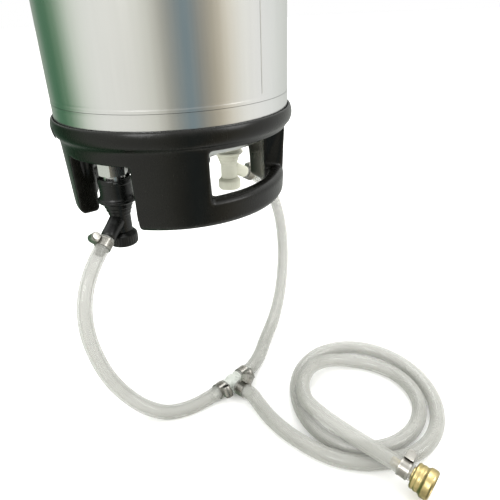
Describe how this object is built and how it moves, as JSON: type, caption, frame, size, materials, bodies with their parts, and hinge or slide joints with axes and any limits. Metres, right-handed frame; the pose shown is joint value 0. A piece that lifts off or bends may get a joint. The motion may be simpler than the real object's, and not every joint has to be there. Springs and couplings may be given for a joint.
{
  "type": "beer keg",
  "caption": "Tall steel soda-type keg with rubber ends, held upside down, with a lever lid, quick disconnects, and clear hoses that join in a tee and end in a coil with a brass swivel.",
  "frame": {"origin": "centre of the base boot's end plane, which is the keg's top end as held", "axes": "+Z along the keg's axis, away from the lid; -Y faces the side that the liquid hose and the tee are on; +X to the right seen from there"},
  "size_m": [0.326, 0.3836, 0.7991],
  "materials": {
    "steel": "drawn stainless sheet with a fine lengthwise sheen",
    "fitting_steel": "machined stainless steel",
    "rubber": "semi-gloss moulded black rubber",
    "seal_rubber": "smooth black rubber seals",
    "black_plastic": "satin black moulded plastic",
    "white_plastic": "off-white moulded plastic",
    "clear_hose": "clear flexible vinyl hose",
    "tee_plastic": "translucent white moulded plastic",
    "clamp_steel": "bright stainless strip",
    "brass": "turned brass, slightly dulled"
  },
  "bodies": {
    "keg": {"body_tube": "steel", "bottom_head": "steel", "top_head": "steel", "liquid_post": "fitting_steel", "gas_post": "fitting_steel", "liquid_poppet": "fitting_steel", "gas_poppet": "fitting_steel", "liquid_dip_tube": "fitting_steel", "gas_dip_tube": "fitting_steel", "handle_ring": "rubber", "base_boot": "rubber", "liquid_post_seal": "seal_rubber", "gas_post_seal": "seal_rubber", "swivel_washer": "seal_rubber", "liquid_disconnect": "black_plastic", "liquid_plunger": "black_plastic", "liquid_cap": "black_plastic", "gas_disconnect": "white_plastic", "gas_plunger": "white_plastic", "gas_cap": "white_plastic", "hose_liquid": "clear_hose", "hose_gas": "clear_hose", "hose_supply": "clear_hose", "hose_tee": "tee_plastic", "clamp_liquid_band": "clamp_steel", "clamp_gas_band": "clamp_steel", "clamp_tee_1_band": "clamp_steel", "clamp_tee_2_band": "clamp_steel", "clamp_tee_3_band": "clamp_steel", "clamp_swivel_band": "clamp_steel", "swivel_stem": "brass"},
    "lid": {"lid": "fitting_steel", "lid_seal": "seal_rubber", "relief_body": "fitting_steel"},
    "bail": {"lid_bail": "fitting_steel", "bail_foot_1": "rubber", "bail_foot_2": "rubber"},
    "relief_stem": {"relief_stem": "fitting_steel"},
    "relief_ring": {"relief_ring": "fitting_steel"},
    "liquid_collar": {"liquid_collar": "black_plastic"},
    "gas_collar": {"gas_collar": "white_plastic"},
    "swivel_nut": {"swivel_nut": "brass"},
    "clamp_liquid_screw": {"clamp_liquid_screw": "clamp_steel"},
    "clamp_gas_screw": {"clamp_gas_screw": "clamp_steel"},
    "clamp_tee_1_screw": {"clamp_tee_1_screw": "clamp_steel"},
    "clamp_tee_2_screw": {"clamp_tee_2_screw": "clamp_steel"},
    "clamp_tee_3_screw": {"clamp_tee_3_screw": "clamp_steel"},
    "clamp_swivel_screw": {"clamp_swivel_screw": "clamp_steel"}
  },
  "joints": [
    {"name": "bail_hinge", "type": "hinge", "parent": "lid", "child": "bail", "pos_m": [0, 0, -0.588], "axis": [0.6626, 0.749, 0], "range_deg": [0, 90]},
    {"name": "lid_lift", "type": "slide", "parent": "keg", "child": "lid", "axis": [0, 0, 1], "range_m": [0, 0.002]},
    {"name": "relief_pull", "type": "slide", "parent": "lid", "child": "relief_stem", "axis": [0, 0, -1], "range_m": [0, 0.003], "stiffness_N_per_m": 800, "springref_m": -0.001},
    {"name": "relief_ring_swing", "type": "hinge", "parent": "relief_stem", "child": "relief_ring", "pos_m": [0, 0, -0.6003], "axis": [0.749, -0.6626, 0], "range_deg": [-70, 70]},
    {"name": "liquid_collar_slide", "type": "slide", "parent": "keg", "child": "liquid_collar", "axis": [0, 0, -1], "range_m": [0, 0.004], "stiffness_N_per_m": 500, "springref_m": -0.001},
    {"name": "gas_collar_slide", "type": "slide", "parent": "keg", "child": "gas_collar", "axis": [0, 0, -1], "range_m": [0, 0.004], "stiffness_N_per_m": 500, "springref_m": -0.001},
    {"name": "swivel_spin", "type": "hinge", "parent": "keg", "child": "swivel_nut", "pos_m": [0.149, -0.252, -0.783], "axis": [0.6626, -0.7359, -0.1392], "continuous": true},
    {"name": "clamp_liquid_turn", "type": "hinge", "parent": "keg", "child": "clamp_liquid_screw", "pos_m": [-0.07769, -0.08875, -0.63946], "axis": [0.5797, -0.6565, 0.4826], "continuous": true},
    {"name": "clamp_gas_turn", "type": "hinge", "parent": "keg", "child": "clamp_gas_screw", "pos_m": [0.08309, 0.08316, -0.63881], "axis": [-0.6148, 0.693, -0.3767], "continuous": true},
    {"name": "clamp_tee_1_turn", "type": "hinge", "parent": "keg", "child": "clamp_tee_1_screw", "pos_m": [0.02377, -0.13378, -0.78621], "axis": [0.2753, -0.3524, -0.8944], "continuous": true},
    {"name": "clamp_tee_2_turn", "type": "hinge", "parent": "keg", "child": "clamp_tee_2_screw", "pos_m": [0.04741, -0.11531, -0.78621], "axis": [-0.2753, 0.3524, 0.8944], "continuous": true},
    {"name": "clamp_tee_3_turn", "type": "hinge", "parent": "keg", "child": "clamp_tee_3_screw", "pos_m": [0.04433, -0.1246, -0.78278], "axis": [-0.6054, -0.473, 0.6402], "continuous": true},
    {"name": "clamp_swivel_turn", "type": "hinge", "parent": "keg", "child": "clamp_swivel_screw", "pos_m": [0.1522, -0.24223, -0.7763], "axis": [-0.3335, -0.4563, 0.825], "continuous": true}
  ],
  "couplings": [
    {"joint": "bail_hinge", "follows": "lid_lift", "rad_per_m": 785.3}
  ]
}
